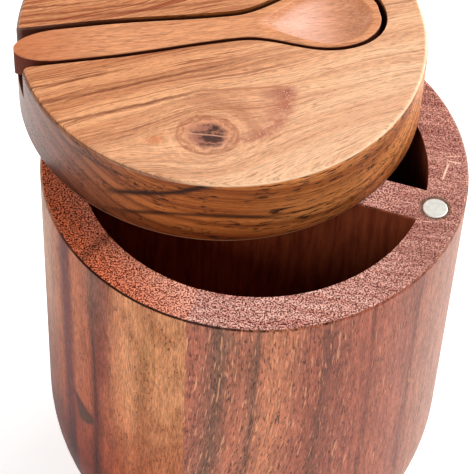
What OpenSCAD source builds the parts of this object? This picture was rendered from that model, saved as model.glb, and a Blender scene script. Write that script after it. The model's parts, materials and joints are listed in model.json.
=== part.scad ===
// Round salt box with two pockets and a lid that swings sideways on a pin.
// The lid carries its own spoon in a slot. Millimetres, +Z up, front towards -Y.
// The origin is the centre of the base. The lid is drawn partly swung open.

/* [Box] */
// Outer diameter of the box
body_d = 102; // [92:1:120]
// Height of the box from its base to the rim
body_h = 120; // [112:1:150]
// Thickness of the wall at the rim
wall_t = 9.7; // [8.5:0.1:12]
// Rounding of the outer edge of the rim
rim_edge_r = 0.8; // [0.3:0.1:2]
// Height over which the side curves in towards the base
base_curve_h = 39; // [20:1:45]
// Radius of that curve
base_curve_r = 66; // [52:1:90]
// Rounding of the edge of the base
base_edge_r = 1.5; // [0.5:0.1:3]

/* [Pockets] */
// Depth of the two pockets below the rim
pocket_depth = 98; // [60:1:102]
// Radius where the round wall of a pocket meets its floor
pocket_floor_r = 6; // [2:0.5:10]
// Thickness of the divider between the pockets
divider_t = 9.3; // [7:0.1:14]
// Direction of the divider in plan, towards the magnet
divider_angle = -15; // [-30:1:0]

/* [Lid] */
// Thickness of the lid
lid_t = 19.5; // [17:0.5:26]
// How far the edge of the lid stands inside the side of the box
lid_inset = 2; // [0.5:0.1:3]
// Rounding of the top edge of the lid
lid_top_r = 1.2; // [0.4:0.1:3]
// Rounding of the bottom edge of the lid
lid_bottom_r = 0.8; // [0.4:0.1:1.4]
// Running gap between the lid and the rim
lid_gap = 0.3; // [0.2:0.05:0.8]
// Angle by which the lid is drawn open, from shut
open_angle = 32; // [0:1:148]

/* [Pivot] */
// Distance of the middle of the pin from the side of the box
pivot_inset = 6; // [5.7:0.1:6.5]
// Direction of the pin in plan
pivot_angle = 186.5; // [180:0.5:200]
// Diameter of the pin
pin_d = 3; // [2.5:0.1:3.6]
// Length of pin that is pressed into the rim
pin_in_rim = 22; // [15:1:30]
// Length of pin that stands up into the lid
pin_in_lid = 10; // [6:0.5:11]
// Outer diameter of the sleeve in the lid
sleeve_d = 5; // [4.6:0.1:5.4]
// Gap all round a pressed or glued piece in its hole
press_gap = 0.02; // [0.01:0.01:0.05]
// Running gap all round the pin in its sleeve
run_gap = 0.05; // [0.02:0.01:0.1]

/* [Magnets] */
// Diameter of the two disc magnets
magnet_d = 6; // [4:0.5:6.5]
// Thickness of the two disc magnets
magnet_t = 3; // [1:0.5:5]
// Distance of the middle of the magnets from the side of the box
magnet_inset = 6.7; // [6:0.1:8]

/* [Slot and spoon] */
// Direction of the slot in plan when the lid is shut
slot_angle = -19; // [-25:1:-15]
// How far the slot lies to one side of the middle of the lid
slot_offset = 1.4; // [0:0.1:3]
// Wood between the round end of the slot and the edge of the lid
slot_end_wall = 8.8; // [6:0.1:14]
// Gap all round the spoon in its slot
slot_gap = 1.4; // [0.6:0.1:2]
// Rounding of the two corners at the mouth of the slot
mouth_r = 2; // [0.5:0.1:3]
// Thickness of the spoon
spoon_t = 8; // [7:0.1:9]
// How far the top of the spoon lies below the top of the lid
spoon_drop = 0.1; // [0:0.1:1]
// Gap under the spoon
spoon_lie_gap = 0.3; // [0.2:0.05:0.5]
// How far the end of the handle stands out past the edge of the lid
tail_proud = 0.8; // [0:0.1:3]
// Width of the handle
handle_w = 10.3; // [9:0.1:13]
// Length of the rounding at the end of the handle
tail_l = 11; // [5:0.5:16]
// Distance from the end of the handle to where it starts to narrow
taper_at = 20; // [16:1:30]
// Width of the neck
neck_w = 7.4; // [5:0.1:8.5]
// Width of the bowl
bowl_w = 20.4; // [16:0.1:24]
// Length from the neck to the widest part of the bowl
bowl_back = 23; // [20:0.5:32]
// Length from the widest part of the bowl to its tip
bowl_front = 12.3; // [9:0.1:16]
// Depth of the scoop
scoop_depth = 5; // [3:0.1:5.6]
// Width of the rim around the scoop at the sides
scoop_rim = 1.2; // [0.8:0.1:2.5]
// Width of the rim around the scoop at the tip
scoop_tip_rim = 2.2; // [1:0.1:4]
// Distance behind the widest part over which the scoop runs out
scoop_back = 18; // [16:0.5:26]

/* [Hidden] */
$fn = 96;
body_r = body_d / 2;
pocket_r = body_r - wall_t;
lid_r = body_r - lid_inset;
lid_z = body_h + lid_gap;
lid_top = lid_z + lid_t;
seam_angle = divider_angle + 90;
pin_hole_r = pin_d / 2 + press_gap;
sleeve_top_gap = 0.5;
sleeve_h = pin_in_lid + sleeve_top_gap;
slot_depth = spoon_t + spoon_drop + spoon_lie_gap;
spoon_l = 2 * lid_r - slot_end_wall - slot_gap + tail_proud;
wide_at = spoon_l - bowl_front;
neck_at = wide_at - bowl_back;
pivot_reach = body_r - pivot_inset;
magnet_reach = body_r - magnet_inset;
pivot = [pivot_reach * cos(pivot_angle), pivot_reach * sin(pivot_angle), 0];
magnet = [magnet_reach * cos(divider_angle), magnet_reach * sin(divider_angle), 0];

// Roundness of the front of the bowl in plan: 2 is an ellipse
bowl_power = 2.2;
// Roundness of the underside of the spoon in section
under_power = 3;
// Steepness of the wall of the scoop
scoop_power = 0.8;
// Flat left at both ends of the spoon
end_flat = 0.15;
// Reach of a cut past the face that it opens
cut = 1;
spoon_rings = 56;
spoon_steps = 14;
slot_steps = 64;

wood_light = [0.76, 0.53, 0.36];
wood_red = [0.62, 0.38, 0.29];
wood_lid = [0.82, 0.57, 0.38];
wood_spoon = [0.84, 0.58, 0.42];
steel = [0.80, 0.80, 0.78];
brass = [0.78, 0.64, 0.36];

// Points along an arc, from angle a0 to angle a1
function arc(x, y, r, a0, a1, n) =
    [for (i = [0:n]) let (a = a0 + (a1 - a0) * i / n) [x + r * cos(a), y + r * sin(a)]];

// A smooth step from 0 to 1 while t goes from 0 to 1
function ramp(t) = (1 - cos(180 * min(max(t, 0), 1))) / 2;

// Half the width of the spoon at s from the end of its handle, or of its slot with a gap
function half_width(s, gap = 0) =
    s < neck_at
        ? handle_w / 2 + gap - (handle_w - neck_w) / 2 * ramp((s - taper_at) / (neck_at - taper_at))
    : s < wide_at
        ? neck_w / 2 + gap + (bowl_w - neck_w) / 2 * ramp((s - neck_at) / bowl_back)
    : (bowl_w / 2 + gap)
        * pow(max(0, 1 - pow((s - wide_at) / (bowl_front + gap), bowl_power)), 1 / bowl_power);

// The rounding at the end of the handle, as a share of its width
function tail_share(s) = s < tail_l ? sqrt(1 - pow(1 - s / tail_l, 2)) : 1;

// Depth of the scoop at s along the spoon and v to one side
function scoop(s, v) =
    let (
        d = s - wide_at,
        along = d > 0 ? d / (bowl_front - scoop_tip_rim) : d / scoop_back,
        side = d > 0 ? bowl_w / 2 - scoop_rim : half_width(s) - scoop_rim,
        q = pow(along, 2) + pow(v / side, 2)
    )
    q < 1 ? scoop_depth * pow(1 - q, scoop_power) : 0;

// One ring of the spoon: across its top with the scoop, and back along its underside
function spoon_ring(s) =
    let (w = half_width(s) * tail_share(s))
    concat(
        [for (i = [0:spoon_steps]) let (v = -w * cos(180 * i / spoon_steps)) [s, v, -scoop(s, v)]],
        [for (i = [1:spoon_steps - 1])
            let (c = cos(180 * i / spoon_steps))
            [s, w * c, -spoon_t * pow(1 - pow(abs(c), under_power), 1 / under_power)]]);

// The outline of the box from its base to its rim, right of the axis
function body_profile() =
    let (
        cx = body_r - base_curve_r,
        ex = cx + sqrt(pow(base_curve_r - base_edge_r, 2) - pow(base_curve_h - base_edge_r, 2)),
        meet = atan2(base_edge_r - base_curve_h, ex - cx)
    )
    concat(
        [[0, 0]],
        arc(ex, base_edge_r, base_edge_r, -90, meet, 4),
        [for (p = arc(cx, base_curve_h, base_curve_r, meet, 0, 12)) if (p[1] > base_edge_r + 0.5) p],
        arc(body_r - rim_edge_r, body_h - rim_edge_r, rim_edge_r, 0, 90, 4),
        [[0, body_h]]);

function pocket_profile() = concat(
    [[0, 0]],
    arc(pocket_r - pocket_floor_r, pocket_floor_r, pocket_floor_r, -90, 0, 8),
    [[pocket_r, pocket_depth + cut], [0, pocket_depth + cut]]);

function lid_profile() = concat(
    [[0, 0]],
    arc(lid_r - lid_bottom_r, lid_bottom_r, lid_bottom_r, -90, 0, 4),
    arc(lid_r - lid_top_r, lid_t - lid_top_r, lid_top_r, 0, 90, 5),
    [[0, lid_t]]);

// One side of the slot, from its mouth to its tip; the mouth's corner is rounded
function slot_side() =
    let (
        edge = tail_proud + lid_r - sqrt(pow(lid_r, 2) - pow(handle_w / 2 + slot_gap, 2)),
        end = wide_at + bowl_front + slot_gap
    )
    concat(
        [[-2 * mouth_r, half_width(0, slot_gap) + mouth_r]],
        [for (a = [0:22.5:90])
            [edge + mouth_r * (1 - cos(a)), half_width(0, slot_gap) + mouth_r * (1 - sin(a))]],
        [for (i = [1:slot_steps])
            let (s = taper_at + (end - taper_at) * sin(90 * i / slot_steps))
            [s, half_width(s, slot_gap)]]);

module slot_outline() {
    near = slot_side();
    far = [for (i = [len(near) - 2:-1:0]) [near[i][0], -near[i][1]]];
    polygon(concat(near, far));
}

// Puts what is drawn in the shut lid's place where the lid stands open
module with_lid() {
    translate(pivot) rotate(open_angle) translate(-pivot) children();
}

// Puts what is drawn along +X from the end of the handle in the slot's place, lid shut
module along_slot(z) {
    rotate(slot_angle) translate([-lid_r - tail_proud, slot_offset, z]) children();
}

module blank() {
    difference() {
        rotate_extrude() polygon(body_profile());
        difference() {
            translate([0, 0, body_h - pocket_depth]) rotate_extrude() polygon(pocket_profile());
            rotate(divider_angle) translate([-body_r, -divider_t / 2, 0])
                cube([body_d, divider_t, body_h + 2 * cut]);
        }
    }
}

// Half of all space beside the glue line: side 1 is left, side -1 is right
module beside_seam(side) {
    reach = body_d;
    rotate(seam_angle) translate([-reach, side > 0 ? 0 : -reach, -cut])
        cube([2 * reach, reach, body_h + 2 * cut]);
}

module left_block() {
    color(wood_light) difference() {
        intersection() {
            blank();
            beside_seam(1);
        }
        translate([pivot[0], pivot[1], body_h - pin_in_rim])
            cylinder(r = pin_hole_r, h = pin_in_rim + cut);
    }
}

module right_block() {
    color(wood_red) difference() {
        intersection() {
            blank();
            beside_seam(-1);
        }
        translate([magnet[0], magnet[1], body_h - magnet_t])
            cylinder(r = magnet_d / 2 + press_gap, h = magnet_t + cut);
    }
}

module rim_magnet() {
    color(steel) translate([magnet[0], magnet[1], body_h - magnet_t])
        cylinder(d = magnet_d, h = magnet_t);
}

module pivot_pin() {
    color(steel) translate([pivot[0], pivot[1], body_h - pin_in_rim])
        cylinder(d = pin_d, h = pin_in_rim + lid_gap + pin_in_lid);
}

module lid() {
    color(wood_lid) with_lid() difference() {
        translate([0, 0, lid_z]) rotate_extrude() polygon(lid_profile());
        along_slot(lid_top - slot_depth) linear_extrude(slot_depth + cut) slot_outline();
        translate([pivot[0], pivot[1], lid_z - cut])
            cylinder(r = sleeve_d / 2 + press_gap, h = sleeve_h + cut);
        translate([magnet[0], magnet[1], lid_z - cut])
            cylinder(r = magnet_d / 2 + press_gap, h = magnet_t + cut);
    }
}

module lid_magnet() {
    color(steel) with_lid() translate([magnet[0], magnet[1], lid_z])
        cylinder(d = magnet_d, h = magnet_t);
}

module pivot_sleeve() {
    color(brass) with_lid() translate([pivot[0], pivot[1], lid_z]) difference() {
        cylinder(d = sleeve_d, h = sleeve_h);
        translate([0, 0, -cut]) cylinder(r = pin_d / 2 + run_gap, h = sleeve_h + 2 * cut);
    }
}

module spoon() {
    rings = [for (i = [0:spoon_rings])
        end_flat + (spoon_l - 2 * end_flat) * ramp(i / spoon_rings)];
    points = [for (s = rings) each spoon_ring(s)];
    n = 2 * spoon_steps;
    sides = [for (i = [0:spoon_rings - 1], j = [0:n - 1])
        let (a = i * n + j, b = i * n + (j + 1) % n)
        each [[a, b, a + n], [b, b + n, a + n]]];
    // Both end faces fan out from the middle of the underside
    keel = spoon_steps * 3 / 2;
    last = spoon_rings * n;
    caps = [for (j = [1:n - 2])
        let (a = (keel + j) % n, b = (keel + j + 1) % n)
        each [[keel, b, a], [last + keel, last + a, last + b]]];
    color(wood_spoon) with_lid() along_slot(lid_top - spoon_drop)
        polyhedron(points, concat(sides, caps));
}

left_block();
right_block();
rim_magnet();
pivot_pin();
lid();
lid_magnet();
pivot_sleeve();
spoon();
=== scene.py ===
import json
import math

import bmesh
import bpy
from mathutils import Matrix, Vector


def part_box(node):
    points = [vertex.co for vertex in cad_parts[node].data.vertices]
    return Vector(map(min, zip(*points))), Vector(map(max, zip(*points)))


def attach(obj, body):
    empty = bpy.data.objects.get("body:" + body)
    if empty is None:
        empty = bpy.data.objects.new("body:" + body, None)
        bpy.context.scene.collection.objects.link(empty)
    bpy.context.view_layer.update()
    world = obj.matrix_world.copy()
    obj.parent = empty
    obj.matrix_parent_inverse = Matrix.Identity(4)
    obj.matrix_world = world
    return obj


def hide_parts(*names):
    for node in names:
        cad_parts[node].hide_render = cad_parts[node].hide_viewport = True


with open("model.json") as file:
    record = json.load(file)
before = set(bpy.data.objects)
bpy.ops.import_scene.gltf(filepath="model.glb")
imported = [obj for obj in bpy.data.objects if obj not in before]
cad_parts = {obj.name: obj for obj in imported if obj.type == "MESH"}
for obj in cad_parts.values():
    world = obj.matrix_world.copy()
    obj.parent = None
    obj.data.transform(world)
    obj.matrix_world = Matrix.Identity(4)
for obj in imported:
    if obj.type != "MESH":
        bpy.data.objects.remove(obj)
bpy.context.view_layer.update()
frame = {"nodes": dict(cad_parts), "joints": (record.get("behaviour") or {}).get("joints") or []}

# A turned salt box of two glued boards, its swivel lid and the spoon that lies in the lid.
# Sizes are in millimetres and angles in degrees unless a line says otherwise.
MM = 0.001
JOINTS = {joint["name"]: joint for joint in frame["joints"]}
PIVOT = Vector(JOINTS["lid_swivel"]["pos_m"]) / MM
RIM_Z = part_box("left_block")[1].z / MM
BOX_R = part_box("right_block")[1].x / MM
LID_LOW_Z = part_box("lid")[0].z / MM
LID_TOP_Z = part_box("lid")[1].z / MM
MAGNET = sum(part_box("rim_magnet"), Vector()) / 2 / MM

# The box: how its boards and its divider lie in plan
DIVIDER_ANGLE = -15
SEAM_ANGLE = DIVIDER_ANGLE + 90
LEFT_LAYER_ANGLE = 52
WALL = 9.7
# Where the dark growth layer crosses the rim, and its half width there
RIM_LAYER = (-36.2, -30.4)
RIM_LAYER_HALF = 2.2

# The lid as it stands in the photograph, 32 degrees open
LID_OPEN = 32
LID_R = 49
LID_GRAIN_ANGLE = 21
LID_MIDDLE = Matrix.Translation(PIVOT) @ Matrix.Rotation(math.radians(LID_OPEN), 4, "Z") @ (-PIVOT)
# The two knots in plan: their middles, how far each bends the grain round it, and their half widths
KNOT = (-11.2, -10.8)
KNOT_BEND = (9, 6.5)
KNOT_HALF = (5.2, 4.6)
KNOT_RING = (7.2, 6.0)
KNOT_ARC = (10.8, 10.6)
SMALL_KNOT = (-22.9, -13.3)
SMALL_KNOT_BEND = (4.5, 3.2)
SMALL_KNOT_HALF = (2.6, 1.8)
# How far the lid's layers move across the grain for each millimetre down
LAYER_DIP = 2.6
# The bold lines of the lid: distance across the grain, slope to it, where each ends along it, half width
LID_LINES = (
    (19.4, 0, -18, 0.6), (14.2, 0, 8, 0.8), (7.4, 0, -4, 0.9),
    (40.0, 0.115, -14, 0.7), (37.4, 0.115, -4, 0.6), (35.2, 0.115, 6, 0.8),
)
LINE_FADE = 16
# The dark streaks on the lid's side: a place in x, the height there, slope, curve, waviness, half width,
# where in x each fades in and out, and its strength
SIDE_STREAKS = (
    (-31, 10.1, 0.43, 0, 0.5, 1.9, (-37, -29), (-5, -9), 1.0),
    (-8, 9.2, 0, -0.0105, 0.4, 1.3, (-36, -26), (16, 0), 0.85),
    (0, 16.4, 0, 0, 0.3, 0.9, (-48, -42), (-22, -30), 0.6),
)
# The reddish figure: its length from the knot, the middle of its dark tip along and across the grain, and
# the line along its top: where it crosses the grain, and its slope
FLAME_LENGTH = 18.5
FLAME_TIP = (6, 1.8)
FLAME_LINE = (5.1, 0.22)

# The spoon and where it lies in the lid
SLOT_ANGLE = LID_OPEN - 19
SLOT_OFFSET = 1.4
SPOON_DROP = 0.1
TAIL_PROUD = 0.8
SPOON_TOP_Z = LID_TOP_Z - SPOON_DROP
SLOT_START = Vector((-LID_R - TAIL_PROUD, SLOT_OFFSET, 0))
SPOON_PLACE = (
    Matrix.Translation((LID_MIDDLE.x, LID_MIDDLE.y, SPOON_TOP_Z))
    @ Matrix.Rotation(math.radians(SLOT_ANGLE), 4, "Z")
    @ Matrix.Translation(SLOT_START)
)
SPOON_SIZES = {
    "length": 88.6, "thickness": 8, "handle width": 10.3, "tail length": 11, "taper start": 20,
    "neck width": 7.4, "bowl width": 20.4, "bowl back": 23, "bowl front": 12.3, "scoop depth": 5,
    "scoop rim": 1.2, "scoop tip rim": 2.2, "scoop back": 18, "edge": 0.45,
}
# Rings along the spoon, points round each, and how far the first and last ring lie in from its ends
SPOON_RINGS = 150
SPOON_STEPS = 97
END_INSET = 0.15

# The teardrop knot low on the left board: its place, how it leans, its half width and its head
TEARDROP = {"angle": 218, "turn": 2.9, "z": 58.6, "lean": -50, "half width": 4.2, "head": 2.2}

# Scratches beside the rim magnet: start, end, half width and strength
SCRATCHES = (
    ((44.5, -2.6), (46.2, 3.0), 0.42, 1.0),
    ((46.0, 3.6), (49.2, 3.0), 0.30, 1.0),
    ((45.2, 4.9), (48.6, 5.3), 0.26, 0.8),
)

# The growth layers of the two boards: where each lies between the first and the last, and its colour
LEFT_SPAN = (-50, 24)
LEFT_LAYERS = (
    (0.00, (136, 80, 50)), (0.12, (156, 90, 56)), (0.20, (112, 58, 36)), (0.28, (146, 88, 58)),
    (0.35, (142, 82, 52)), (0.41, (156, 82, 50)), (0.445, (98, 40, 32)), (0.475, (114, 48, 36)),
    (0.505, (172, 98, 64)), (0.57, (168, 92, 62)), (0.597, (84, 40, 28)), (0.615, (124, 58, 44)),
    (0.65, (144, 74, 56)), (0.69, (182, 114, 78)), (0.75, (202, 136, 94)), (0.80, (180, 118, 78)),
    (0.83, (192, 128, 86)), (0.93, (196, 132, 90)),
)
RIGHT_SPAN = (-16, 54)
RIGHT_LAYERS = (
    (0.00, (166, 94, 68)), (0.07, (162, 92, 70)), (0.115, (150, 90, 70)), (0.15, (114, 76, 58)),
    (0.18, (152, 92, 70)), (0.22, (172, 100, 74)), (0.26, (162, 98, 74)), (0.28, (118, 76, 58)),
    (0.30, (176, 106, 78)), (0.33, (192, 120, 86)), (0.38, (182, 110, 80)), (0.43, (168, 96, 72)),
    (0.475, (160, 88, 66)), (0.505, (122, 68, 52)), (0.535, (152, 84, 64)), (0.60, (166, 90, 68)),
    (0.63, (164, 88, 66)), (0.645, (132, 68, 50)), (0.66, (168, 92, 68)), (0.76, (172, 98, 76)),
    (0.80, (136, 74, 56)), (0.815, (170, 104, 80)), (0.88, (164, 108, 86)),
)

# All other colours, as they are seen, from 0 to 255
COLOURS = {
    # The box
    "oiled edge": (44, 10, 2), "pocket dark": (128, 52, 28), "pocket light": (166, 80, 46),
    "grey patch": (134, 92, 74), "olive streak": (150, 104, 58), "lower tan": (186, 112, 76),
    "low tint": (222, 160, 132), "corner shade": (176, 136, 122), "far left sheen": (196, 150, 122),
    "left end dark": (130, 56, 38), "left end light": (255, 192, 168),
    "red end dark": (80, 14, 2), "red end light": (234, 124, 82),
    "end layer dark": (58, 22, 12), "end layer light": (150, 84, 60),
    "pore cloud": (196, 178, 164), "left pore": (92, 40, 20),
    "teardrop haze": (112, 50, 42), "teardrop tail": (78, 30, 24), "teardrop head": (68, 42, 26),
    "mottled patch": (112, 80, 60), "right dash": (74, 32, 20), "pale dash": (236, 166, 122),
    "ring pit dark": (84, 32, 26), "ring pit light": (118, 58, 44),
    "ring dark": (218, 148, 132), "ring light": (246, 194, 178),
    "far ring pit dark": (100, 52, 44), "far ring pit light": (140, 86, 70),
    "far ring dark": (168, 108, 95), "far ring light": (210, 153, 138),
    "glue pit": (78, 52, 40), "glue": (130, 98, 82), "scratch": (250, 204, 178),
    # The top of the lid
    "lid light": (244, 172, 120), "lid dark": (186, 108, 64),
    "lid right sheen light": (250, 201, 161), "lid right sheen dark": (222, 152, 109),
    "lid line": (112, 50, 24), "lid streak": (134, 66, 34), "lid pore": (142, 74, 42),
    "lid back": (150, 66, 34), "small knot": (206, 112, 66),
    "flame": (178, 98, 74), "flame tip": (150, 80, 66), "flame fleck": (250, 212, 188),
    "flame line": (166, 84, 50),
    "knot arc": (166, 100, 66), "knot ring": (160, 88, 54), "knot glow": (206, 130, 98),
    "knot rim": (132, 66, 44), "knot wood": (156, 100, 84), "knot heart": (50, 32, 30),
    "knot crack": (222, 162, 132),
    # The lid's edges, side and slot
    "edge highlight": (252, 216, 176), "edge shade": (70, 34, 22), "lower edge": (226, 170, 130),
    "slot dark": (58, 22, 12), "slot light": (104, 52, 28),
    "side dark": (134, 66, 26), "side light": (196, 112, 52),
    "right side dark": (176, 98, 44), "right side light": (240, 156, 88),
    "left side dark": (82, 42, 32), "left side light": (120, 72, 56), "far left side sheen": (160, 132, 122),
    "side streak": (38, 16, 11), "side dash": (46, 18, 6), "side low tint": (178, 140, 112),
    # The spoon
    "spoon light": (228, 156, 110), "spoon dark": (190, 112, 70), "spoon tail": (196, 110, 66),
    "spoon pore": (150, 80, 50), "spoon bowl highlight": (240, 190, 168),
    "spoon side shade": (118, 76, 54), "spoon slot shade": (90, 58, 44),
    # Metal and floor
    "nickel": (236, 235, 228), "steel": (186, 186, 186), "brass": (214, 180, 110),
    "dull metal": (176, 174, 164), "floor light": (250, 250, 249), "floor dark": (243, 243, 241),
}


def linear(red, green, blue):
    """A colour as it is seen, from 0 to 255, as the light it stands for."""
    seen = [channel / 255 for channel in (red, green, blue)]
    return tuple(c / 12.92 if c <= 0.04045 else ((c + 0.055) / 1.055) ** 2.4 for c in seen) + (1,)


def paint(name):
    return linear(*COLOURS[name])


class Socket:
    """A number that comes out of a node. Sums and products of sockets add Math nodes to the tree."""

    def __init__(self, tree, link):
        self.tree = tree
        self.link = link

    def maths(self, operation, *terms):
        return self.tree.node("ShaderNodeMath", {"operation": operation}, dict(enumerate(terms)))

    def __add__(self, other):
        return self.maths("ADD", self, other)

    def __radd__(self, other):
        return self.maths("ADD", other, self)

    def __sub__(self, other):
        return self.maths("SUBTRACT", self, other)

    def __rsub__(self, other):
        return self.maths("SUBTRACT", other, self)

    def __mul__(self, other):
        return self.maths("MULTIPLY", self, other)

    def __rmul__(self, other):
        return self.maths("MULTIPLY", other, self)

    def __truediv__(self, other):
        return self.maths("DIVIDE", self, other)

    def __neg__(self):
        return self.maths("MULTIPLY", self, -1)

    def __abs__(self):
        return self.maths("ABSOLUTE", self)

    def __pow__(self, power):
        return self.maths("POWER", self, power)

    def __rpow__(self, base):
        return self.maths("POWER", base, self)

    def root(self):
        return self.maths("SQRT", self)

    def least(self, other):
        return self.maths("MINIMUM", self, other)

    def most(self, other):
        return self.maths("MAXIMUM", self, other)

    def under(self, other):
        return self.maths("LESS_THAN", self, other)

    def cosine(self):
        return self.maths("COSINE", self)

    def rise(self, low, high):
        """A smooth step from 0 at low to 1 at high; it falls where high is the smaller one."""
        settings = {"interpolation_type": "SMOOTHSTEP"}
        return self.tree.node("ShaderNodeMapRange", settings, {0: self, 1: low, 2: high})

    def scaled(self, low, high):
        """A straight line from 0 at low to 1 at high."""
        return self.tree.node("ShaderNodeMapRange", {}, {0: self, 1: low, 2: high})

    def bump(self, middle, half):
        """1 at the middle value, falling smoothly to 0 at half to either side."""
        return abs(self - middle).rise(half, 0)


class Tree:
    """A node tree that is filled one node at a time."""

    def __init__(self, tree):
        self.tree = tree

    def node(self, kind, settings=None, values=None, output=0):
        """Adds a node: its settings first, then the values or links of its inputs."""
        made = self.tree.nodes.new(kind)
        for name, setting in (settings or {}).items():
            if name == "stops":
                self.set_stops(made.color_ramp, setting)
            else:
                setattr(made, name, setting)
        for name, value in (values or {}).items():
            if isinstance(value, Socket):
                self.tree.links.new(value.link, made.inputs[name])
            else:
                made.inputs[name].default_value = value
        return Socket(self, made.outputs[output]) if len(made.outputs) else None

    @staticmethod
    def set_stops(ramp, stops):
        while len(ramp.elements) > 1:
            ramp.elements.remove(ramp.elements[-1])
        for index, (place, colour) in enumerate(stops):
            stop = ramp.elements[0] if index == 0 else ramp.elements.new(place)
            stop.position = place
            stop.color = linear(*colour)

    def split(self, vector):
        """The three numbers of a vector."""
        parts = self.node("ShaderNodeSeparateXYZ", values={0: vector})
        outputs = parts.link.node.outputs
        return [Socket(self, outputs[axis]) for axis in range(3)]

    def join(self, x, y, z):
        return self.node("ShaderNodeCombineXYZ", values={0: x, 1: y, 2: z})

    def place(self):
        """Where the surface is on the object, as three numbers in millimetres."""
        metres = self.node("ShaderNodeTexCoord", output="Object")
        scaled = self.node("ShaderNodeVectorMath", {"operation": "SCALE"}, {0: metres, "Scale": 1 / MM})
        return self.split(scaled)

    def facing(self):
        """The direction that the surface faces, as three numbers."""
        return self.split(self.node("ShaderNodeNewGeometry", output="Normal"))

    def noise(self, point, size, detail=2, roughness=0.5, seed=0):
        """Cloudy noise from 0 to 1 whose lumps have the given length along each axis."""
        x, y, z = (axis / length + seed for axis, length in zip(point, size))
        values = {"Vector": self.join(x, y, z), "Scale": 1, "Detail": detail, "Roughness": roughness}
        return self.node("ShaderNodeTexNoise", {}, values)

    def ramp(self, value, stops):
        return self.node("ShaderNodeValToRGB", {"stops": stops}, {0: value})

    def mix(self, share, first, second):
        """Goes from the first colour to the second as share goes from 0 to 1."""
        settings = {"data_type": "RGBA"}
        return self.node("ShaderNodeMix", settings, {0: share, 6: first, 7: second}, output=2)

    def grain(self, share, name):
        """Goes from the dark colour of that name to its light one."""
        return self.mix(share, paint(name + " dark"), paint(name + " light"))

    def stain(self, share, colour, name):
        """Covers a colour with a named one, as far as share says."""
        return self.mix(share, colour, paint(name))

    def tint(self, share, colour, by):
        """Multiplies a colour by another one, as far as share says."""
        settings = {"data_type": "RGBA", "blend_type": "MULTIPLY"}
        return self.node("ShaderNodeMix", settings, {0: share, 6: colour, 7: by}, output=2)

    def shaded(self, colour, strength):
        """Makes a colour lighter or darker by a factor."""
        colour = colour if isinstance(colour, Socket) else colour[:3]
        return self.node("ShaderNodeVectorMath", {"operation": "SCALE"}, {0: colour, "Scale": strength})


def turned(x, y, angle):
    """The parts of a place along a direction in plan and square to it."""
    c, s = math.cos(math.radians(angle)), math.sin(math.radians(angle))
    return x * c + y * s, y * c - x * s


def distance(x, y, width=1, length=1):
    """How far a place is from the middle of a circle or oval, in its half widths."""
    return ((x / width) ** 2 + (y / length) ** 2).root()


def oval(along, across, length, width):
    """1 in the middle of an oval, falling to 0 at its edge."""
    return ((along / length) ** 2 + (across / width) ** 2).rise(1, 0)


def finished(t, colour, roughness, height, coat=0.03, metallic=0.0, sheen=0.24):
    """Ends a material: its surface from a colour, a roughness and a height in millimetres."""
    bumped = t.node("ShaderNodeBump", {}, {"Height": height, "Strength": 1.0, "Distance": MM})
    values = {
        "Base Color": colour, "Roughness": roughness, "Normal": bumped, "Metallic": metallic,
        "Coat Weight": coat, "Coat Roughness": 0.3, "IOR": 1.45, "Specular IOR Level": sheen,
    }
    surface = t.node("ShaderNodeBsdfPrincipled", {}, values)
    t.node("ShaderNodeOutputMaterial", {}, {"Surface": surface})
    return t.material


def material_tree(name):
    material = bpy.data.materials.new(name)
    material.use_nodes = True
    material.node_tree.nodes.clear()
    t = Tree(material.node_tree)
    t.material = material
    return t


def end_grain(t, point, dark, light):
    """The cut ends of the fibres: fine light and dark specks."""
    fine = t.noise(point, (0.40, 0.40, 3), detail=1, roughness=0.6)
    coarse = t.noise(point, (1.2, 1.2, 6), seed=5)
    grit = (fine + coarse * 0.3 - 0.15).rise(0.44, 0.58)
    glint = t.noise(point, (0.42, 0.42, 3), detail=1, seed=51).rise(0.56, 0.64)
    glinting = t.shaded(light, 1.5)
    return t.mix(glint * 0.7, t.mix(grit, dark, light), glinting), grit


def box_board(name, layers, ends, marks, streaks, sheen):
    """Upright grain for one of the two boards of the box."""
    t = material_tree(name)
    point = x, y, z = t.place()
    colour, flow = layers(t, point)
    broad = t.noise(flow, (1.3, 1.3, 16), detail=3, roughness=0.65).rise(0.3, 0.7)
    fine = t.noise(flow, (0.3, 0.3, 2.4), detail=2, roughness=0.7, seed=3).rise(0.3, 0.7)
    colour = t.shaded(colour, 0.61 - streaks / 2 + broad * streaks + fine * 0.62)
    colour, pores = marks(t, point, flow, colour)
    # The cut ends show on the rim and under the base, but not on the base's rounded edge
    nz = abs(t.facing()[2])
    is_end = nz.rise(0.80, 0.95) * (1 - z.rise(8, 7) * z.rise(0.1, 0.4))
    cut_ends, grit = end_grain(t, point, *ends(t, point))
    # Painted shade darkens the lowest few millimetres of the boards, next to the floor
    painted_base_shade = z.rise(6, 1)
    colour = t.shaded(t.mix(is_end, colour, cut_ends), 1 - painted_base_shade * 0.62)
    radius = distance(x, y)
    colour = t.stain(oiled_edge(t, point, nz, radius), colour, "oiled edge")
    # Inside the pockets the wood is painted dark as shade, most of all at the right
    pocket_r = BOX_R - WALL
    inside = radius.rise(pocket_r + 0.5, pocket_r - 0.2) * z.rise(RIM_Z - 0.2, RIM_Z - 0.9)
    pocket_shade = t.shaded(t.grain(broad, "pocket"), 1.3 - x.rise(-20, 30) * 0.65)
    colour = t.mix(inside, colour, pocket_shade)
    height = fine * 0.03 + broad * 0.01 - pores * 0.06 + grit * is_end * 0.05
    roughness = 0.46 - fine * 0.06 + is_end * 0.12 + inside * 0.2
    return finished(t, colour, roughness, height, sheen=sheen)


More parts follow.
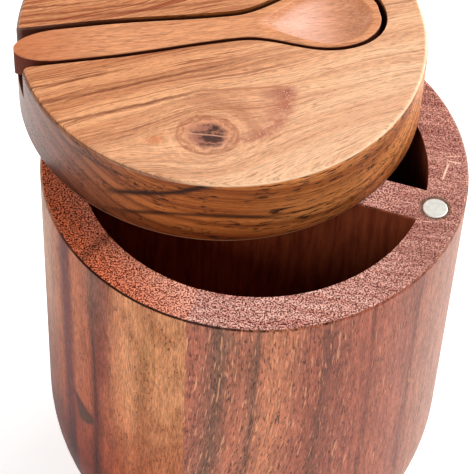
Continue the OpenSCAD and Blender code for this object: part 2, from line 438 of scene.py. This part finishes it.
def oiled_edge(t, point, nz, radius):
    """The turned edge between the side and the rim, which took more oil and is dark and broken."""
    x, y, z = point
    broken = t.noise(point, (1.6, 1.6, 1.6), detail=4, roughness=0.75, seed=9)
    broken = (broken + x.rise(6, -20) * 0.2 - x.rise(-4, 30) * 0.1).rise(0.36, 0.62)
    edge = nz.rise(0.2, 0.5) * nz.rise(0.93, 0.8) * x.rise(-48, -38)
    edge = edge * radius.rise(BOX_R - 2, BOX_R - 1) * z.rise(RIM_Z - 2, RIM_Z - 1)
    return edge * broken


def left_layers(t, point):
    """The left board: growth layers that stand upright."""
    x, y, z = point
    wander = t.noise(point, (16, 16, 70), seed=1) * 3 - 1.5
    layer = wander - turned(x, y, LEFT_LAYER_ANGLE)[1]
    colour = t.ramp(layer.scaled(*LEFT_SPAN), LEFT_LAYERS)
    # Towards the rim the dark layer spreads into a grey-brown patch, and olive streaks show in the tan
    patch = layer.bump(-5, 8) * z.rise(86, 114)
    colour = t.stain(patch * 0.6, colour, "grey patch")
    olive = t.noise(point, (1.3, 1.3, 30), detail=2, seed=41).rise(0.5, 0.66)
    olive = olive * layer.bump(11, 4) * z.rise(84, 100)
    colour = t.stain(olive * 0.5, colour, "olive streak")
    # Lower down the maroon layer fades into the tan one
    faded = layer.bump(-2.0, 3.4) * z.rise(88, 66)
    colour = t.stain(faded * 0.75, colour, "lower tan")
    # Painted shade makes the wood redder and darker low down, most of all at the front and towards the
    # lower left, and a painted sheen makes it greyer and paler at the upper left
    front = y.rise(22, -8)
    painted_corner_shade = z.rise(60, 34) * x.rise(-20, -40) * front
    colour = t.tint(z.rise(92, 34) * (0.3 + front * 0.6), colour, paint("low tint"))
    colour = t.tint(painted_corner_shade * 0.9, colour, paint("corner shade"))
    # Painted sheen: the upper left is greyed and paled
    far_left_sheen = x.rise(-43, -50) * z.rise(66, 96)
    colour = t.stain(far_left_sheen * 0.55, colour, "far left sheen")
    return colour, point


def left_ends(t, point):
    """The two colours of the left board's cut ends: redder at the far left, and dark in one layer."""
    x, y, z = point
    red = turned(x, y, 30)[0].rise(-26, -50)
    dark = t.mix(red, paint("left end dark"), paint("red end dark"))
    light = t.mix(red, paint("left end light"), paint("red end light"))
    across = turned(x - RIM_LAYER[0], y - RIM_LAYER[1], LEFT_LAYER_ANGLE)[1]
    layer = across.bump(0, RIM_LAYER_HALF) * 0.7
    return t.stain(layer, dark, "end layer dark"), t.stain(layer, light, "end layer light")


def left_marks(t, point, flow, colour):
    """Pores, thickest in the tan wood low beside the seam, where they sit in grey clouds."""
    x, y, z = point
    beside = turned(x, y, 250)[0].rise(44, 50)
    crowd = t.noise(point, (5, 5, 12), seed=7) + beside * z.rise(104, 74) * 0.14
    pores = t.noise(point, (0.42, 0.42, 1.1), detail=1, seed=31).rise(0.36, 0.30)
    pores = pores * crowd.rise(0.42, 0.6)
    cloud = crowd.rise(0.5, 0.68)
    colour = t.tint(cloud * 0.48, colour, paint("pore cloud"))
    colour = t.stain(pores * 0.85, colour, "left pore")
    return teardrop(t, point, colour), pores


def teardrop(t, point, colour):
    """A dark knot with a round head below, a narrow tail above and a haze round it."""
    x, y, z = point
    turn = turned(x, y, TEARDROP["angle"])[1]
    down, across = turned(turn - TEARDROP["turn"], z - TEARDROP["z"], TEARDROP["lean"])
    taper = ((1 + down.least(0) * 0.09).most(0) ** 1.7).most(0.14)
    rough = t.noise(point, (1.6, 1.6, 2.4), detail=3, seed=45) * 0.5 - 0.25
    away = distance(across, down.most(0), taper * TEARDROP["half width"], TEARDROP["head"]) + rough
    haze = away.rise(2.2, 0.9) * down.rise(-13, -6)
    colour = t.stain(haze * 0.45, colour, "teardrop haze")
    knot = away.rise(1.2, 0.75) * down.rise(-10, -6.5)
    dark = t.mix(down.rise(-5, -1), paint("teardrop tail"), paint("teardrop head"))
    return t.mix(knot * 0.9, colour, t.shaded(dark, 1 + rough * 1.6))


def right_layers(t, point):
    """The right board: upright layers, and fibres that lean to the left towards the bottom."""
    x, y, z = point
    low = (112 - z).most(0)
    lean = (low ** 2) * 0.0009 * x.rise(34, 4)
    wander = t.noise(point, (12, 12, 90), seed=2) * 5 - 2.5
    layer = x + lean + wander
    colour = t.ramp(layer.scaled(*RIGHT_SPAN), RIGHT_LAYERS)
    # A mottled dark patch lies beside the seam below the rim
    mottle = t.noise(point, (1.4, 1.4, 3), detail=3, roughness=0.7, seed=16).rise(0.42, 0.58)
    patch = layer.bump(-3, 6) * z.rise(88, 108) * mottle
    colour = t.stain(patch * 0.6, colour, "mottled patch")
    return colour, (x + lean * 2, y, z)


def right_ends(t, point):
    """The two colours of the right board's cut ends: growth rings, browner at the far right."""
    x, y, z = point
    ring = y + x * 0.12 + t.noise(point, (9, 9, 9), seed=17) * 5
    rings = t.noise((ring, x, z), (1.7, 26, 60), detail=3, roughness=0.7, seed=4).rise(0.36, 0.64)
    right = x.rise(20, 40) * 0.8
    dark = t.mix(right, t.grain(rings, "ring pit"), t.grain(rings, "far ring pit"))
    light = t.mix(right, t.grain(rings, "ring"), t.grain(rings, "far ring"))
    # A dark ring round the magnet, painted as the shadow of the gap there, and a few pale scratches beyond
    # it
    glue = distance(x - MAGNET.x, y - MAGNET.y).rise(4.1, 3.3)
    dark = t.stain(glue, dark, "glue pit")
    light = t.stain(glue, light, "glue")
    marks = [scratched(x, y, start, end, half) * strength for start, end, half, strength in SCRATCHES]
    scratch = marks[0].most(marks[1]).most(marks[2])
    return t.stain(scratch, dark, "scratch"), t.stain(scratch, light, "scratch")


def scratched(x, y, start, end, half):
    """A thin straight mark between two places in plan."""
    length = math.dist(start, end)
    angle = math.degrees(math.atan2(end[1] - start[1], end[0] - start[0]))
    along, across = turned(x - start[0], y - start[1], angle)
    return across.bump(0, half) * along.bump(length / 2, length / 2 + half).rise(0, 0.3)


def right_marks(t, point, flow, colour):
    """Dark dashes, thickest beside the seam, and pale ones that the hidden back doesn't have."""
    x, y, z = point
    crowd = t.noise(point, (6, 6, 14), seed=8) + x.rise(30, 6) * 0.16 - x.rise(20, 44) * 0.12
    dashes = t.noise(flow, (0.36, 0.36, 2.2), detail=1, seed=23).rise(0.40, 0.32)
    dashes = dashes * crowd.rise(0.36, 0.58)
    colour = t.stain(dashes * 0.8, colour, "right dash")
    pale = t.noise(flow, (0.5, 0.5, 5), detail=1, seed=27).rise(0.60, 0.70)
    pale = pale * crowd.rise(0.4, 0.6) * y.rise(20, -10)
    return t.stain(pale * 0.5, colour, "pale dash"), dashes


def lid_flow(t, point):
    """How far a place lies across the lid's grain, which bends round the knots and sags below one."""
    x, y, z = point
    along, across = turned(x, y, LID_GRAIN_ANGLE)
    u, v = turned(x - KNOT[0], y - KNOT[1], LID_GRAIN_ANGLE)
    sag = v.rise(7, -14) * ((1 + (u / 12) ** 2).root() - 1) * (9 - u.rise(-6, 12) * 4.5)
    bend = v * math.e ** -((u / KNOT_BEND[0]) ** 2 + (v / KNOT_BEND[1]) ** 2)
    u, v = turned(x - SMALL_KNOT[0], y - SMALL_KNOT[1], LID_GRAIN_ANGLE)
    small_bend = v * math.e ** -((u / SMALL_KNOT_BEND[0]) ** 2 + (v / SMALL_KNOT_BEND[1]) ** 2)
    depth = (LID_TOP_Z - z) * LAYER_DIP
    wander = t.noise((along, across, z), (40, 14, 14), seed=1) * 7 - 3.5
    return along, across + depth - sag - bend - small_bend + wander


def lid_board():
    """The lid's wood. Its figure is a solid one, so the top and the side show the same layers."""
    t = material_tree("lid board")
    point = x, y, z = t.place()
    along, layer = lid_flow(t, point)
    flow = (layer, along, z)
    bands = t.noise(flow, (5, 220, 90), detail=4, roughness=0.7, seed=2).rise(0.34, 0.64)
    ridge = t.noise(flow, (2.6, 170, 50), detail=2, roughness=0.55, seed=5)
    uneven = t.noise(flow, (3, 26, 20), seed=19).rise(0.36, 0.62)
    lines = ridge.bump(0.55, 0.028).most(ridge.bump(0.43, 0.016) * 0.8) * (0.25 + uneven * 0.75)
    fibre = t.noise((along, layer, z), (2.4, 0.24, 0.5), detail=2, roughness=0.8, seed=3).rise(0.3, 0.7)
    pores = t.noise((along, layer, z), (3.0, 0.36, 0.5), detail=1, seed=13).rise(0.38, 0.30)
    colour = lid_top(t, point, flow, bands, lines, fibre, pores)
    nz = t.facing()[2]
    side = nz.rise(0.72, 0.4)
    brown, dashes = lid_side(t, point, fibre, bands)
    colour = t.mix(side, colour, brown)
    colour = lid_edges(t, point, nz, fibre, colour)
    roughness = 0.44 - fibre * 0.06 + lines * 0.05
    height = fibre * 0.03 - lines * 0.01 - pores * 0.03 - dashes * side * 0.05
    polished = side * x.rise(-22, -48) * 0.2 + 0.03
    return finished(t, colour, roughness, height, coat=polished)


def lid_top(t, point, flow, bands, lines, fibre, pores):
    """The top: strong lines at the left and the back, calm and pale wood at the right and the front, and a
    painted sheen that makes the right paler still.
    """
    x, y, z = point
    across = turned(x, y, LID_GRAIN_ANGLE)[1]
    right = turned(x, y, -42)[0].rise(-36, 26)
    back = turned(x, y, SLOT_ANGLE)[1].rise(6, 24) * x.rise(16, -10)
    front = across.rise(4, -9)
    strength = ((1 - right * 0.7) * (1 - front * 0.45)).most(back)
    gaps = 1 - bands
    colour = t.mix(gaps * (0.30 + strength * 0.5), paint("lid light"), paint("lid dark"))
    # Painted sheen: the right of the top is made paler
    pale = t.mix(gaps * 0.45, paint("lid right sheen light"), paint("lid right sheen dark"))
    colour = t.mix(right * 0.9, colour, pale)
    colour = t.stain(lines * (0.24 + strength * 0.6), colour, "lid line")
    streaks = t.noise(flow, (0.75, 60, 40), detail=2, roughness=0.6, seed=61).rise(0.50, 0.62)
    colour = t.stain(streaks * strength * 0.36, colour, "lid streak")
    colour = t.shaded(colour, 0.75 + fibre * 0.40)
    colour = t.stain(pores * 0.45, colour, "lid pore")
    colour = main_lines(t, point, fibre, colour)
    colour = t.stain(back * (0.2 + lines * 0.65), colour, "lid back")
    colour = flame_mark(t, point, colour)
    colour = knot_mark(t, point, colour)
    u, v = turned(x - SMALL_KNOT[0], y - SMALL_KNOT[1], LID_GRAIN_ANGLE)
    return t.stain(oval(u, v, *SMALL_KNOT_HALF) * 0.5, colour, "small knot")


def lid_edges(t, point, nz, fibre, colour):
    """The lid's edges and its slot."""
    x, y, z = point
    radius = distance(x - LID_MIDDLE.x, y - LID_MIDDLE.y)
    # The eased edges of the top and of the slot carry a painted pale highlight, and painted shade at the
    # left end
    edge = nz.bump(0.72, 0.24) * z.rise(LID_TOP_Z - 2, LID_TOP_Z - 1.2)
    outer = radius.rise(LID_R - 1.5, LID_R - 0.8)
    colour = t.stain(edge * (1 - outer * x.rise(2, -18)) * 0.6, colour, "edge highlight")
    colour = t.stain(edge * outer * x.rise(-8, -26) * 0.75, colour, "edge shade")
    # Down in the slot the wood is painted dark as shade
    deep = z.rise(LID_TOP_Z - 0.35, LID_TOP_Z - 1.2)
    slot = radius.rise(LID_R - 0.15, LID_R - 0.5).most(nz.rise(0.4, 0.7))
    colour = t.mix(deep * slot, colour, t.grain(fibre, "slot"))
    # The lower edge shows as a pale line
    low = nz.rise(0.3, -0.3) * nz.rise(-0.98, -0.8) * z.rise(LID_LOW_Z + 1, LID_LOW_Z + 0.5)
    return t.stain(low * 0.5, colour, "lower edge")


def main_lines(t, point, fibre, colour):
    """The bold growth lines that cross the left half of the lid."""
    x, y, z = point
    along, across = turned(x, y, LID_GRAIN_ANGLE)
    across = across + t.noise((along, across, z), (15, 30, 40), seed=35) * 1.8 - 0.9
    bold = None
    for place, slope, end, half in LID_LINES:
        line = (across + along * slope).bump(place, half) * along.rise(end, end - LINE_FADE)
        bold = line if bold is None else bold.most(line)
    return t.stain(bold * (0.85 - fibre * 0.35), colour, "lid line")


def lid_side(t, point, fibre, bands):
    """The turned side of the lid: brown, with three dark streaks and short dark pores along it."""
    x, y, z = point
    high = z - LID_LOW_Z
    brown = t.grain(bands, "side")
    # Painted light makes the side lighter towards the right
    brown = t.mix(x.rise(-6, 16) * 0.75, brown, t.grain(bands, "right side"))
    brown = t.mix(x.rise(-14, -48) * 0.85, brown, t.grain(bands, "left side"))
    # A painted sheen greys the far left of the side
    brown = t.stain(x.rise(-42, -54) * 0.2, brown, "far left side sheen")
    brown = t.shaded(brown, 0.66 + fibre * 0.6)
    # The streaks: one climbs to the top edge, one arches below it and one runs just under the top
    wave = t.noise(point, (10, 10, 3), detail=2, seed=18) * 2.4 - 1.2
    ragged = t.noise(point, (2.2, 2.2, 0.5), detail=2, seed=20) * 0.8 + 0.5
    streaks = None
    for middle, height, slope, curve, waviness, half, starts, ends, strength in SIDE_STREAKS:
        away = x - middle
        off = high - height - away * slope - (away ** 2) * curve + wave * waviness
        streak = off.bump(0, ragged * half) * x.rise(*starts) * x.rise(*ends) * strength
        streaks = streak if streaks is None else streaks.most(streak)
    brown = t.stain(streaks * y.rise(26, 14) * 0.95, brown, "side streak")
    along, across = turned(x, y, LID_GRAIN_ANGLE)
    dashes = t.noise((along, across, z), (4.4, 1.3, 0.44), detail=2, roughness=0.6, seed=6)
    crowd = t.noise(point, (9, 9, 4), seed=12) + x.rise(0, 14) * 0.16
    dashes = dashes.rise(0.45, 0.38) * crowd.rise(0.42, 0.56)
    brown = t.stain(dashes * 0.9, brown, "side dash")
    return t.tint(high.rise(7, 0) * 0.8, brown, paint("side low tint")), dashes


def flame_mark(t, point, colour):
    """A reddish figure right of the knot: a dark tip, a thin line along its top and pale flecks."""
    x, y, z = point
    along, across = turned(x, y, LID_GRAIN_ANGLE)
    u, v = turned(x - KNOT[0], y - KNOT[1], LID_GRAIN_ANGLE)
    cloud = t.noise((u, v, z), (3, 2, 3), detail=4, roughness=0.65, seed=11)
    below = FLAME_LINE[0] - along * FLAME_LINE[1] - across
    reach = FLAME_LENGTH + v / u.most(4) * 18 - distance(u, v) + cloud * 3
    body = reach.rise(-2.2, 3.2) * below.rise(-0.8, 1.4) * u.rise(-2, 9)
    share = body * (0.3 + reach.rise(10, 2) * 0.7) * (0.4 + cloud.rise(0.3, 0.6) * 0.6)
    colour = t.stain(share * 0.85, colour, "flame")
    tip = oval(along - FLAME_TIP[0], across - FLAME_TIP[1], 6, 3) * body
    colour = t.stain(tip * 0.5, colour, "flame tip")
    flecks = t.noise(point, (0.45, 0.45, 0.45), detail=1, seed=71).rise(0.60, 0.68)
    flecks = flecks * reach.rise(7, 3) * body
    colour = t.stain(flecks * 0.45, colour, "flame fleck")
    line = below.bump(0, 0.55) * along.rise(-16, -9) * along.rise(11, 5)
    return t.stain(line * 0.5, colour, "flame line")


def knot_mark(t, point, colour):
    """A dark knot with a ring and a brown arc round it, and a pale crack along it."""
    x, y, z = point
    u, v = x - KNOT[0], y - KNOT[1]
    rough = t.noise(point, (2.2, 2.2, 2.2), detail=4, roughness=0.6, seed=14) - 0.5
    away = distance(u, v, *KNOT_HALF) + rough * 0.6
    halo = distance(u, v, *KNOT_RING) + rough * 0.22
    rings = (halo * 22 + rough * 14).cosine() * halo.rise(2.8, 1.2) * halo.rise(0.5, 0.9)
    colour = t.shaded(colour, 1 - rings * 0.08)
    arc = distance(u, v, *KNOT_ARC).bump(1, 0.26) * v.rise(-4, 4) * u.rise(-9, 0)
    colour = t.stain(arc * 0.4, colour, "knot arc")
    colour = t.stain(halo.bump(0.98, 0.1) * 0.6, colour, "knot ring")
    colour = t.stain(away.rise(1.5, 0.9) * 0.45, colour, "knot glow")
    colour = t.stain((away + rough * 0.4).bump(1.15, 0.16) * 0.4, colour, "knot rim")
    colour = t.stain(away.rise(1.05, 0.55) * 0.85, colour, "knot wood")
    heart = t.noise(point, (2.6, 1.5, 1.8), detail=4, roughness=0.7, seed=44)
    heart = (heart + turned(u, v, -20)[0].rise(-3, 3) * 0.12 - 0.05).rise(0.42, 0.56)
    colour = t.stain(heart * away.rise(0.98, 0.6) * 0.85, colour, "knot heart")
    crack = (v + u * 0.06 + rough * 0.5).bump(0, 0.34) * away.rise(1.15, 0.7)
    return t.stain(crack * 0.8, colour, "knot crack")


def spoon_wood():
    """Fine straight grain, redder towards the tail, with a painted highlight that makes the bowl pale."""
    t = material_tree("spoon wood")
    x, y, z = t.place()
    along, across = turned(x, y, SLOT_ANGLE)
    layer = across + t.noise((along, across, z), (40, 8, 8), seed=1) * 4 + (z - LID_TOP_Z) * 0.6
    fibre = t.noise((along, layer, z), (3.6, 0.34, 0.5), detail=2, roughness=0.7, seed=2).rise(0.28, 0.72)
    band = t.noise((layer, along, z), (1.4, 60, 30), detail=2, seed=3).rise(0.42, 0.7)
    colour = t.mix(band * 0.4, paint("spoon light"), paint("spoon dark"))
    colour = t.shaded(colour, 0.72 + fibre * 0.40)
    colour = t.stain(along.rise(-28, -54) * 0.7, colour, "spoon tail")
    pores = t.noise((along, across, z), (3.0, 0.32, 0.5), detail=1, seed=13).rise(0.40, 0.30)
    colour = t.stain(pores * 0.5, colour, "spoon pore")
    nz = t.facing()[2]
    # A painted highlight makes the scoop pale, most of all partway along the bowl
    scoop = z.rise(SPOON_TOP_Z - 0.3, SPOON_TOP_Z - 2.5) * nz.rise(0.1, 0.4)
    pale = t.shaded(paint("spoon bowl highlight"), 0.84 + fibre * 0.26)
    colour = t.mix(scoop * (0.2 + along.bump(15, 13) * 0.65), colour, pale)
    # Painted shade: the sides are darker, most of all where they lie in the slot
    sides = nz.rise(0.55, 0.1)
    in_slot = along.rise(-LID_R - 1.5, -LID_R + 9)
    colour = t.tint(sides, colour, t.mix(in_slot, paint("spoon side shade"), paint("spoon slot shade")))
    height = fibre * 0.018 - pores * 0.04
    return finished(t, colour, 0.42 - fibre * 0.05 + sides * 0.4, height, coat=0.06)


def plated_metal(name, grain):
    """A slightly dull metal with fine marks of the given size."""
    t = material_tree(name)
    point = t.place()
    cloud = t.noise(point, (1.2, 1.2, 1.2), detail=3, roughness=0.6)
    fine = t.noise(point, grain, detail=2)
    colour = t.mix(cloud.rise(0.35, 0.7) * 0.3, paint(name), paint("dull metal"))
    roughness = 0.34 + cloud * 0.16 + fine * 0.08
    return finished(t, colour, roughness, fine * 0.01, coat=0.0, metallic=0.85)


def eased_copy(node, name, body, material, edge, flush_seam=False):
    """A solid's own shape with its sharp edges eased, in place of that solid."""
    bm = bmesh.new()
    bm.from_mesh(frame["nodes"][node].data)
    bmesh.ops.remove_doubles(bm, verts=bm.verts, dist=0.002 * MM)
    bmesh.ops.dissolve_limit(bm, angle_limit=math.radians(0.2), verts=bm.verts, edges=bm.edges)
    seam = Vector((-math.sin(math.radians(SEAM_ANGLE)), math.cos(math.radians(SEAM_ANGLE)), 0))

    def on_seam(face):
        along_seam = abs(face.normal.dot(seam)) > 0.999
        return flush_seam and along_seam and abs(face.calc_center_median().dot(seam)) < 0.1 * MM

    sharp = [
        e for e in bm.edges
        if len(e.link_faces) == 2 and e.calc_face_angle(0) > math.radians(38)
        and not any(on_seam(f) for f in e.link_faces)
    ]
    bmesh.ops.bevel(
        bm, geom=sharp, offset=edge * MM, offset_type="OFFSET", segments=3,
        profile=0.5, affect="EDGES", clamp_overlap=True,
    )
    mesh = bpy.data.meshes.new(name)
    bm.to_mesh(mesh)
    bm.free()
    mesh.shade_smooth()
    mesh.set_sharp_from_angle(angle=math.radians(40))
    piece = bpy.data.objects.new(name, mesh)
    bpy.context.scene.collection.objects.link(piece)
    mesh.materials.append(material)
    weighted = piece.modifiers.new("even shading", "WEIGHTED_NORMAL")
    weighted.keep_sharp = True
    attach(piece, body)
    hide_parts(node)
    return piece


def ease(value):
    """A smooth start and end between 0 and 1."""
    return (1 - (value.most(0).least(1) * math.pi).cosine()) / 2


def spoon_outline(size, s, u):
    """Half the spoon's width at a distance s from its tail, without its ends and with them."""
    wide_at = size["length"] - size["bowl front"]
    neck_at = wide_at - size["bowl back"]
    tapering = ease((s - size["taper start"]) / (neck_at - size["taper start"]))
    handle = size["handle width"] / 2 - (size["handle width"] - size["neck width"]) / 2 * tapering
    widening = ease((s - neck_at) / size["bowl back"])
    full = handle + (size["bowl width"] - size["neck width"]) / 2 * widening
    past = s - wide_at
    front = (1 - (past.most(0) / size["bowl front"]) ** 2.2).most(0) ** (1 / 2.2)
    tail = (1 - (1 - s / size["tail length"]).most(0) ** 2).root()
    closed = (u - 0.0001).rise(0, 0.0001) * (0.9999 - u).rise(0, 0.0001)
    return full, full * front * tail * closed, past


def spoon_scoop(size, full, past, v):
    """How deep the scoop is; it fades in softly at the neck."""
    behind = (-past).most(0) / size["scoop back"]
    along = past.most(0) / (size["bowl front"] - size["scoop tip rim"]) + behind
    q = along ** 2 + (v / (full - size["scoop rim"])) ** 2
    softness = 0.8 + 0.7 * behind.least(1)
    return size["scoop depth"] * (1 - q).most(0) ** softness


def spoon_rule(material):
    """The spoon as a rule: rings along its length, each with a flat top, a scoop and a round underside."""
    group = bpy.data.node_groups.new("spoon", "GeometryNodeTree")
    group.interface.new_socket("Geometry", in_out="INPUT", socket_type="NodeSocketGeometry")
    keys = {}
    for name in SPOON_SIZES:
        socket = group.interface.new_socket(name, in_out="INPUT", socket_type="NodeSocketFloat")
        keys[name] = socket.identifier
    group.interface.new_socket("Geometry", in_out="OUTPUT", socket_type="NodeSocketGeometry")
    t = Tree(group)
    given = t.node("NodeGroupInput").link.node.outputs
    size = {name: Socket(t, given[name]) for name in SPOON_SIZES}
    counts = {"Size X": 1, "Size Y": 1, "Vertices X": SPOON_RINGS, "Vertices Y": SPOON_STEPS}
    grid = t.node("GeometryNodeMeshGrid", {}, counts)
    u, w, _ = t.split(t.node("GeometryNodeInputPosition"))
    u, turn = u + 0.5, w + 0.5
    s = END_INSET + (size["length"] - 2 * END_INSET) * ease(u)
    full, half, past = spoon_outline(size, s, u)
    side = (turn * (2 * math.pi)).cosine() * -1
    v = half * side
    dip = spoon_scoop(size, full, past, v)
    # The top's edge is rounded, and the underside is a flattened round
    to_edge = (half - abs(v)).least(size["length"] - END_INSET - s).least(s - END_INSET)
    edge = size["edge"]
    round_off = edge * (1 - (1 - (1 - to_edge / edge).most(0).least(1) ** 2).root())
    belly = edge + (size["thickness"] - edge) * (1 - abs(side).least(1) ** 3).most(0) ** (1 / 3)
    is_top = turn.under(0.50001)
    z = -((dip + round_off) * is_top + belly * (1 - is_top))
    place = t.join(s * MM, v * MM, z * MM)
    moved = t.node("GeometryNodeSetPosition", {}, {"Geometry": grid, "Position": place})
    merged = t.node("GeometryNodeMergeByDistance", {}, {"Geometry": moved, "Distance": 0.002 * MM})
    smooth = t.node("GeometryNodeSetShadeSmooth", {}, {"Geometry": merged})
    real = t.node("GeometryNodeRealizeInstances", {}, {"Geometry": smooth})
    dressed = t.node("GeometryNodeSetMaterial", {}, {"Geometry": real, "Material": material})
    t.node("NodeGroupOutput", {}, {"Geometry": dressed})
    return group, keys


def spoon(material):
    group, keys = spoon_rule(material)
    holder = bpy.data.objects.new("spoon_rule", bpy.data.meshes.new("spoon_rule"))
    bpy.context.scene.collection.objects.link(holder)
    modifier = holder.modifiers.new("spoon", "NODES")
    modifier.node_group = group
    for name, size in SPOON_SIZES.items():
        modifier[keys[name]] = float(size)
    graph = bpy.context.evaluated_depsgraph_get()
    mesh = bpy.data.meshes.new_from_object(holder.evaluated_get(graph))
    bpy.data.objects.remove(holder)
    scale = Matrix.Diagonal((MM, MM, MM, 1))
    mesh.transform(scale @ SPOON_PLACE @ scale.inverted())
    bm = bmesh.new()
    bm.from_mesh(mesh)
    bmesh.ops.dissolve_degenerate(bm, edges=bm.edges, dist=0.001 * MM)
    bmesh.ops.recalc_face_normals(bm, faces=bm.faces)
    bm.to_mesh(mesh)
    bm.free()
    mesh.set_sharp_from_angle(angle=math.radians(50))
    piece = bpy.data.objects.new("carved_spoon", mesh)
    bpy.context.scene.collection.objects.link(piece)
    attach(piece, "spoon")
    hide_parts("spoon")
    return piece


def stage():
    """A pale floor that glows a little, so that its shadows stay light."""
    t = material_tree("studio floor")
    cloud = t.noise(t.place(), (300, 300, 300))
    colour = t.mix(cloud * 0.1, paint("floor light"), paint("floor dark"))
    material = finished(t, colour, 0.8, cloud * 0.001, coat=0.0)
    surface = next(n for n in material.node_tree.nodes if n.type == "BSDF_PRINCIPLED")
    surface.inputs["Emission Color"].default_value = (1, 1, 1, 1)
    surface.inputs["Emission Strength"].default_value = 0.46
    mesh = bpy.data.meshes.new("floor")
    reach = 3.0
    corners = [(-reach, -reach, 0), (reach, -reach, 0), (reach, reach, 0), (-reach, reach, 0)]
    mesh.from_pydata(corners, [], [(0, 1, 2, 3)])
    mesh.materials.append(material)
    floor = bpy.data.objects.new("floor", mesh)
    bpy.context.scene.collection.objects.link(floor)


def lamp(name, place, aim, width, height, power, colour=(1, 1, 1)):
    light = bpy.data.lights.new(name, "AREA")
    light.shape = "RECTANGLE"
    light.size, light.size_y = width, height
    light.energy = power
    light.color = colour
    lamp_object = bpy.data.objects.new(name, light)
    lamp_object.location = place
    lamp_object.rotation_mode = "QUATERNION"
    lamp_object.rotation_quaternion = (Vector(aim) - Vector(place)).to_track_quat("-Z", "Y")
    bpy.context.scene.collection.objects.link(lamp_object)


def studio():
    """Soft light from all round, and four lamps. Their places and sizes are in metres."""
    world = bpy.data.worlds.new("studio")
    world.use_nodes = True
    background = world.node_tree.nodes["Background"]
    background.inputs["Color"].default_value = (1, 1, 1, 1)
    background.inputs["Strength"].default_value = 0.26
    bpy.context.scene.world = world
    middle = (0, 0, 0.1)
    lamp("key", (0.65, 0.3, 0.85), middle, 0.7, 0.7, 11)
    lamp("front fill", (-0.5, -0.8, 0.55), middle, 0.6, 0.6, 5)
    lamp("right rim light", (0.5, 0.6, 0.16), middle, 0.3, 0.25, 3.5)
    lamp("left rim light", (-0.55, 0.55, 0.2), middle, 0.3, 0.25, 2.3, (1, 0.95, 0.9))
    bpy.context.scene.view_settings.view_transform = "Standard"


def camera():
    """The photograph's view: a long lens from the front, 48 degrees up, turned slightly about its axis."""
    # The distance is in radii of the box
    distance_in_radii, elevation, pan, tilt, roll = 10.1923, 47.9325, -0.3522, -2.0183, 2.9716
    e = math.radians(elevation)
    back = Vector((0, -math.cos(e), math.sin(e)))
    ahead = -back
    right = Vector((1, 0, 0))
    up = right.cross(ahead)
    ahead = (ahead + right * math.tan(math.radians(pan)) + up * math.tan(math.radians(tilt))).normalized()
    right = ahead.cross(Vector((0, 0, 1))).normalized()
    up = right.cross(ahead)
    c, s = math.cos(math.radians(roll)), math.sin(math.radians(roll))
    side, top = right * c + up * s, up * c - right * s
    data = bpy.data.cameras.new("camera")
    data.sensor_width = 36
    data.lens = 166.0
    data.clip_start, data.clip_end = 0.01, 20
    seen = bpy.data.objects.new("camera", data)
    place = back * (distance_in_radii * BOX_R * MM) + Vector((0, 0, RIM_Z * MM))
    turn = Matrix((side, top, -ahead)).transposed().to_4x4()
    seen.matrix_world = Matrix.Translation(place) @ turn
    bpy.context.scene.collection.objects.link(seen)
    bpy.context.scene.camera = seen


left_wood = box_board("left board", left_layers, left_ends, left_marks, streaks=0.24, sheen=0.08)
right_wood = box_board("right board", right_layers, right_ends, right_marks, streaks=0.42, sheen=0.16)
lid_wood = lid_board()
nickel = plated_metal("nickel", (0.2, 0.2, 0.2))
steel = plated_metal("steel", (0.3, 0.3, 0.05))
brass = plated_metal("brass", (0.3, 0.3, 0.05))

eased_copy("left_block", "left_half", "box", left_wood, 0.3, flush_seam=True)
eased_copy("right_block", "right_half", "box", right_wood, 0.3, flush_seam=True)
eased_copy("lid", "swivel_lid", "lid", lid_wood, 0.4)
eased_copy("rim_magnet", "magnet_in_rim", "box", nickel, 0.25)
eased_copy("lid_magnet", "magnet_in_lid", "lid", nickel, 0.25)
eased_copy("pivot_pin", "turning_pin", "box", steel, 0.3)
eased_copy("pivot_sleeve", "turning_sleeve", "lid", brass, 0.1)
spoon(spoon_wood())

stage()
studio()
camera()
